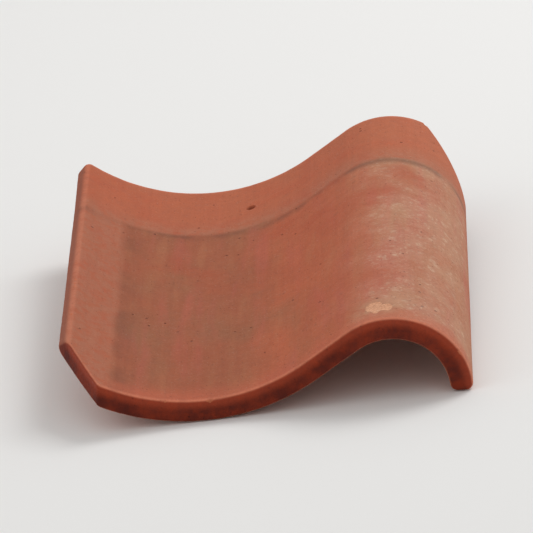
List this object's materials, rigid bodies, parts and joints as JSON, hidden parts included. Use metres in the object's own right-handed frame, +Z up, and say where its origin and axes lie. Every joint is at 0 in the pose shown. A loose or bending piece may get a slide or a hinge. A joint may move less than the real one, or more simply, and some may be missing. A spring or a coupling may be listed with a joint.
{
  "type": "clay pantile",
  "caption": "S-shaped clay roof tile with a wide pan, a round roll, an upturned lip, cut corners, a hanging nib and a nail hole; each roll laps over the next tile's lip.",
  "frame": {"origin": "middle of the footprint of the tile as it rests unheld on a level floor, at floor level", "axes": "+Z up from the floor, +Y along the tile from the tail to the head with its nib, +X across it from the lip to the roll; the tile leans a little on its nib, the back of its pan and the edge of its roll"},
  "size_m": [0.2476, 0.3452, 0.0714],
  "materials": {
    "fired_clay": "matte unglazed terracotta"
  },
  "bodies": {
    "root": {"pantile": "fired_clay"}
  },
  "joints": []
}
